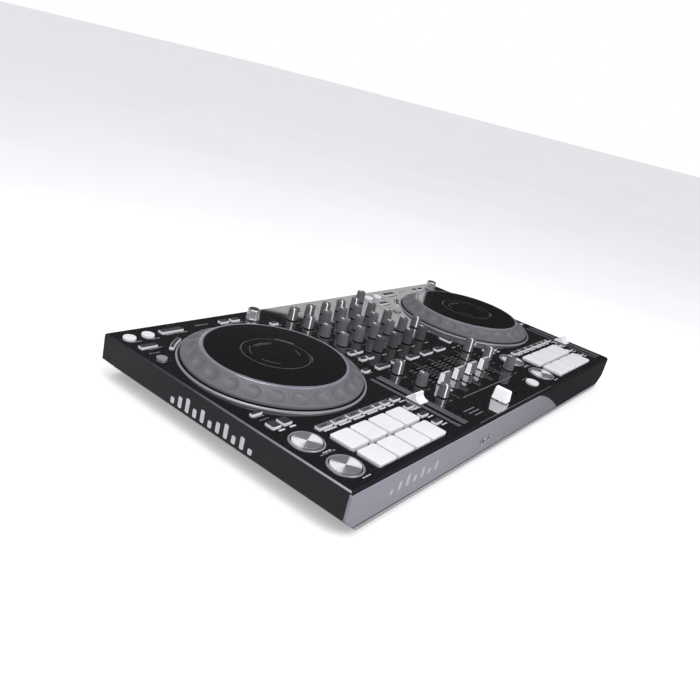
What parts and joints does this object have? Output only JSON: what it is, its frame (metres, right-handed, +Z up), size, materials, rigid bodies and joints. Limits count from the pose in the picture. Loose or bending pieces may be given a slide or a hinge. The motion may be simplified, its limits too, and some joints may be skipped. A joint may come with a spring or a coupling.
{
  "type": "dj controller",
  "caption": "Desktop DJ controller: two jog wheel decks with pads and tempo sliders either side of a mixer with rotary knobs and faders, in a flat case on rubber feet.",
  "frame": {"origin": "on the table plane under the feet, at the centre of the case's width and depth", "axes": "+X to the player's right, +Y from the player towards the rear connectors, +Z up"},
  "size_m": [0.708, 0.3684, 0.0749],
  "materials": {
    "case_black": "gloss",
    "case_satin": "satin",
    "fascia_grey": "satin",
    "trim_silver": "satin",
    "jog_grey": "satin",
    "plate_black": "gloss",
    "pad_white": "satin",
    "key_white": "satin",
    "knob_grey": "satin",
    "knob_silver": "satin",
    "cap_silver": "satin",
    "socket_metal": "satin",
    "foot_rubber": "matte",
    "screw_steel": "satin",
    "board_green": "satin",
    "part_steel": "satin"
  },
  "bodies": {
    "chassis": {"top_case": "case_black", "bottom_case": "case_satin", "front_fascia": "fascia_grey", "jog_bases": "trim_silver", "rear_sockets": "socket_metal", "rubber_feet": "foot_rubber", "case_screws": "screw_steel", "circuit_boards": "board_green", "pots_and_fader_units": "part_steel"},
    "jog_left": {"jog_rim_left": "jog_grey", "jog_plate_left": "plate_black"},
    "jog_right": {"jog_rim_right": "jog_grey", "jog_plate_right": "plate_black"},
    "crossfader_cap": {"crossfader_cap": "cap_silver"},
    "fader_cap_1": {"fader_cap_1": "cap_silver"},
    "fader_cap_2": {"fader_cap_2": "cap_silver"},
    "fader_cap_3": {"fader_cap_3": "cap_silver"},
    "fader_cap_4": {"fader_cap_4": "cap_silver"},
    "tempo_cap_left": {"tempo_cap_left": "cap_silver"},
    "tempo_cap_right": {"tempo_cap_right": "cap_silver"},
    "pads_left": {"pads_left": "pad_white"},
    "pads_right": {"pads_right": "pad_white"},
    "keys_left": {"keys_left": "key_white"},
    "keys_right": {"keys_right": "key_white"},
    "input_selectors": {"input_selectors": "case_satin"},
    "mixer_keys": {"mixer_keys": "key_white"},
    "browse_knob_left": {"browse_knob_left": "knob_silver"},
    "browse_knob_right": {"browse_knob_right": "knob_silver"},
    "trim_knob_1": {"trim_knob_1": "knob_grey"},
    "trim_knob_2": {"trim_knob_2": "knob_grey"},
    "trim_knob_3": {"trim_knob_3": "knob_grey"},
    "trim_knob_4": {"trim_knob_4": "knob_grey"},
    "high_knob_1": {"high_knob_1": "knob_grey"},
    "high_knob_2": {"high_knob_2": "knob_grey"},
    "high_knob_3": {"high_knob_3": "knob_grey"},
    "high_knob_4": {"high_knob_4": "knob_grey"},
    "mid_knob_1": {"mid_knob_1": "knob_grey"},
    "mid_knob_2": {"mid_knob_2": "knob_grey"},
    "mid_knob_3": {"mid_knob_3": "knob_grey"},
    "mid_knob_4": {"mid_knob_4": "knob_grey"},
    "low_knob_1": {"low_knob_1": "knob_grey"},
    "low_knob_2": {"low_knob_2": "knob_grey"},
    "low_knob_3": {"low_knob_3": "knob_grey"},
    "low_knob_4": {"low_knob_4": "knob_grey"},
    "filter_knob_1": {"filter_knob_1": "knob_grey"},
    "filter_knob_2": {"filter_knob_2": "knob_grey"},
    "filter_knob_3": {"filter_knob_3": "knob_grey"},
    "filter_knob_4": {"filter_knob_4": "knob_grey"},
    "mic_1_knob": {"mic_1_knob": "knob_grey"},
    "mic_2_knob": {"mic_2_knob": "knob_grey"},
    "mic_high_knob": {"mic_high_knob": "knob_grey"},
    "mic_low_knob": {"mic_low_knob": "knob_grey"},
    "sampler_knob": {"sampler_knob": "knob_grey"},
    "phones_mix_knob": {"phones_mix_knob": "knob_grey"},
    "phones_level_knob": {"phones_level_knob": "knob_grey"},
    "master_knob": {"master_knob": "knob_grey"},
    "booth_knob": {"booth_knob": "knob_grey"},
    "effect_knob": {"effect_knob": "knob_grey"},
    "effect_channel_knob": {"effect_channel_knob": "knob_grey"},
    "effect_depth_knob": {"effect_depth_knob": "knob_grey"}
  },
  "joints": [
    {"name": "jog_left_spin", "type": "hinge", "parent": "chassis", "child": "jog_left", "pos_m": [-0.2305, 0.035, 0.0644], "axis": [0, 0, 1], "continuous": true},
    {"name": "jog_right_spin", "type": "hinge", "parent": "chassis", "child": "jog_right", "pos_m": [0.2335, 0.035, 0.0644], "axis": [0, 0, 1], "continuous": true},
    {"name": "crossfader_slide", "type": "slide", "parent": "chassis", "child": "crossfader_cap", "axis": [1, 0, 0], "range_m": [-0.0025, 0.0425]},
    {"name": "channel_fader_1_slide", "type": "slide", "parent": "chassis", "child": "fader_cap_1", "axis": [0, 1, 0], "range_m": [-0.0156, 0.0444]},
    {"name": "channel_fader_2_slide", "type": "slide", "parent": "chassis", "child": "fader_cap_2", "axis": [0, 1, 0], "range_m": [-0.0156, 0.0444]},
    {"name": "channel_fader_3_slide", "type": "slide", "parent": "chassis", "child": "fader_cap_3", "axis": [0, 1, 0], "range_m": [-0.0156, 0.0444]},
    {"name": "channel_fader_4_slide", "type": "slide", "parent": "chassis", "child": "fader_cap_4", "axis": [0, 1, 0], "range_m": [-0.0156, 0.0444]},
    {"name": "tempo_left_slide", "type": "slide", "parent": "chassis", "child": "tempo_cap_left", "axis": [0, 1, 0], "range_m": [-0.05, 0.05]},
    {"name": "tempo_right_slide", "type": "slide", "parent": "chassis", "child": "tempo_cap_right", "axis": [0, 1, 0], "range_m": [-0.05, 0.05]},
    {"name": "pads_left_press", "type": "slide", "parent": "chassis", "child": "pads_left", "axis": [0, 0, 1], "range_m": [-0.001, 0]},
    {"name": "pads_right_press", "type": "slide", "parent": "chassis", "child": "pads_right", "axis": [0, 0, 1], "range_m": [-0.001, 0]},
    {"name": "keys_left_press", "type": "slide", "parent": "chassis", "child": "keys_left", "axis": [0, 0, 1], "range_m": [-0.001, 0]},
    {"name": "keys_right_press", "type": "slide", "parent": "chassis", "child": "keys_right", "axis": [0, 0, 1], "range_m": [-0.001, 0]},
    {"name": "input_selectors_slide", "type": "slide", "parent": "chassis", "child": "input_selectors", "axis": [1, 0, 0], "range_m": [-0.0025, 0.0025]},
    {"name": "mixer_keys_press", "type": "slide", "parent": "chassis", "child": "mixer_keys", "axis": [0, 0, 1], "range_m": [-0.001, 0]},
    {"name": "browse_left_turn", "type": "hinge", "parent": "chassis", "child": "browse_knob_left", "pos_m": [-0.147, 0.155, 0.0644], "axis": [0, 0, 1], "continuous": true},
    {"name": "browse_right_turn", "type": "hinge", "parent": "chassis", "child": "browse_knob_right", "pos_m": [0.317, 0.155, 0.0644], "axis": [0, 0, 1], "continuous": true},
    {"name": "trim_1_turn", "type": "hinge", "parent": "chassis", "child": "trim_knob_1", "pos_m": [-0.0535, 0.1353, 0.0644], "axis": [0, 0, 1], "range_deg": [-300, 0]},
    {"name": "trim_2_turn", "type": "hinge", "parent": "chassis", "child": "trim_knob_2", "pos_m": [-0.0175, 0.1353, 0.0644], "axis": [0, 0, 1], "range_deg": [-300, 0]},
    {"name": "trim_3_turn", "type": "hinge", "parent": "chassis", "child": "trim_knob_3", "pos_m": [0.0185, 0.1353, 0.0644], "axis": [0, 0, 1], "range_deg": [-300, 0]},
    {"name": "trim_4_turn", "type": "hinge", "parent": "chassis", "child": "trim_knob_4", "pos_m": [0.0545, 0.1353, 0.0644], "axis": [0, 0, 1], "range_deg": [-300, 0]},
    {"name": "high_1_turn", "type": "hinge", "parent": "chassis", "child": "high_knob_1", "pos_m": [-0.0535, 0.1045, 0.0644], "axis": [0, 0, 1], "range_deg": [-150, 150]},
    {"name": "high_2_turn", "type": "hinge", "parent": "chassis", "child": "high_knob_2", "pos_m": [-0.0175, 0.1045, 0.0644], "axis": [0, 0, 1], "range_deg": [-150, 150]},
    {"name": "high_3_turn", "type": "hinge", "parent": "chassis", "child": "high_knob_3", "pos_m": [0.0185, 0.1045, 0.0644], "axis": [0, 0, 1], "range_deg": [-150, 150]},
    {"name": "high_4_turn", "type": "hinge", "parent": "chassis", "child": "high_knob_4", "pos_m": [0.0545, 0.1045, 0.0644], "axis": [0, 0, 1], "range_deg": [-150, 150]},
    {"name": "mid_1_turn", "type": "hinge", "parent": "chassis", "child": "mid_knob_1", "pos_m": [-0.0535, 0.074, 0.0644], "axis": [0, 0, 1], "range_deg": [-150, 150]},
    {"name": "mid_2_turn", "type": "hinge", "parent": "chassis", "child": "mid_knob_2", "pos_m": [-0.0175, 0.074, 0.0644], "axis": [0, 0, 1], "range_deg": [-150, 150]},
    {"name": "mid_3_turn", "type": "hinge", "parent": "chassis", "child": "mid_knob_3", "pos_m": [0.0185, 0.074, 0.0644], "axis": [0, 0, 1], "range_deg": [-150, 150]},
    {"name": "mid_4_turn", "type": "hinge", "parent": "chassis", "child": "mid_knob_4", "pos_m": [0.0545, 0.074, 0.0644], "axis": [0, 0, 1], "range_deg": [-150, 150]},
    {"name": "low_1_turn", "type": "hinge", "parent": "chassis", "child": "low_knob_1", "pos_m": [-0.0535, 0.0446, 0.0644], "axis": [0, 0, 1], "range_deg": [-150, 150]},
    {"name": "low_2_turn", "type": "hinge", "parent": "chassis", "child": "low_knob_2", "pos_m": [-0.0175, 0.0446, 0.0644], "axis": [0, 0, 1], "range_deg": [-150, 150]},
    {"name": "low_3_turn", "type": "hinge", "parent": "chassis", "child": "low_knob_3", "pos_m": [0.0185, 0.0446, 0.0644], "axis": [0, 0, 1], "range_deg": [-150, 150]},
    {"name": "low_4_turn", "type": "hinge", "parent": "chassis", "child": "low_knob_4", "pos_m": [0.0545, 0.0446, 0.0644], "axis": [0, 0, 1], "range_deg": [-150, 150]},
    {"name": "filter_1_turn", "type": "hinge", "parent": "chassis", "child": "filter_knob_1", "pos_m": [-0.0535, 0.0108, 0.0644], "axis": [0, 0, 1], "range_deg": [-150, 150]},
    {"name": "filter_2_turn", "type": "hinge", "parent": "chassis", "child": "filter_knob_2", "pos_m": [-0.0175, 0.0108, 0.0644], "axis": [0, 0, 1], "range_deg": [-150, 150]},
    {"name": "filter_3_turn", "type": "hinge", "parent": "chassis", "child": "filter_knob_3", "pos_m": [0.0185, 0.0108, 0.0644], "axis": [0, 0, 1], "range_deg": [-150, 150]},
    {"name": "filter_4_turn", "type": "hinge", "parent": "chassis", "child": "filter_knob_4", "pos_m": [0.0545, 0.0108, 0.0644], "axis": [0, 0, 1], "range_deg": [-150, 150]},
    {"name": "mic_1_turn", "type": "hinge", "parent": "chassis", "child": "mic_1_knob", "pos_m": [-0.0895, 0.1352, 0.0644], "axis": [0, 0, 1], "range_deg": [-300, 0]},
    {"name": "mic_2_turn", "type": "hinge", "parent": "chassis", "child": "mic_2_knob", "pos_m": [-0.0895, 0.1044, 0.0644], "axis": [0, 0, 1], "range_deg": [-300, 0]},
    {"name": "mic_high_turn", "type": "hinge", "parent": "chassis", "child": "mic_high_knob", "pos_m": [-0.0895, 0.0742, 0.0644], "axis": [0, 0, 1], "range_deg": [-150, 150]},
    {"name": "mic_low_turn", "type": "hinge", "parent": "chassis", "child": "mic_low_knob", "pos_m": [-0.0895, 0.044, 0.0644], "axis": [0, 0, 1], "range_deg": [-150, 150]},
    {"name": "sampler_turn", "type": "hinge", "parent": "chassis", "child": "sampler_knob", "pos_m": [-0.0895, -0.0466, 0.0644], "axis": [0, 0, 1], "range_deg": [-300, 0]},
    {"name": "phones_mix_turn", "type": "hinge", "parent": "chassis", "child": "phones_mix_knob", "pos_m": [-0.0895, -0.0826, 0.0644], "axis": [0, 0, 1], "range_deg": [-150, 150]},
    {"name": "phones_level_turn", "type": "hinge", "parent": "chassis", "child": "phones_level_knob", "pos_m": [-0.0895, -0.1146, 0.0644], "axis": [0, 0, 1], "range_deg": [-300, 0]},
    {"name": "master_turn", "type": "hinge", "parent": "chassis", "child": "master_knob", "pos_m": [0.095, 0.155, 0.0644], "axis": [0, 0, 1], "range_deg": [-150, 150]},
    {"name": "booth_turn", "type": "hinge", "parent": "chassis", "child": "booth_knob", "pos_m": [0.095, 0.0464, 0.0644], "axis": [0, 0, 1], "range_deg": [-300, 0]},
    {"name": "effect_turn", "type": "hinge", "parent": "chassis", "child": "effect_knob", "pos_m": [0.095, -0.0488, 0.0644], "axis": [0, 0, 1], "range_deg": [-300, 0]},
    {"name": "effect_channel_turn", "type": "hinge", "parent": "chassis", "child": "effect_channel_knob", "pos_m": [0.095, -0.0804, 0.0644], "axis": [0, 0, 1], "range_deg": [-300, 0]},
    {"name": "effect_depth_turn", "type": "hinge", "parent": "chassis", "child": "effect_depth_knob", "pos_m": [0.095, -0.1156, 0.0644], "axis": [0, 0, 1], "range_deg": [-170, 130]}
  ]
}
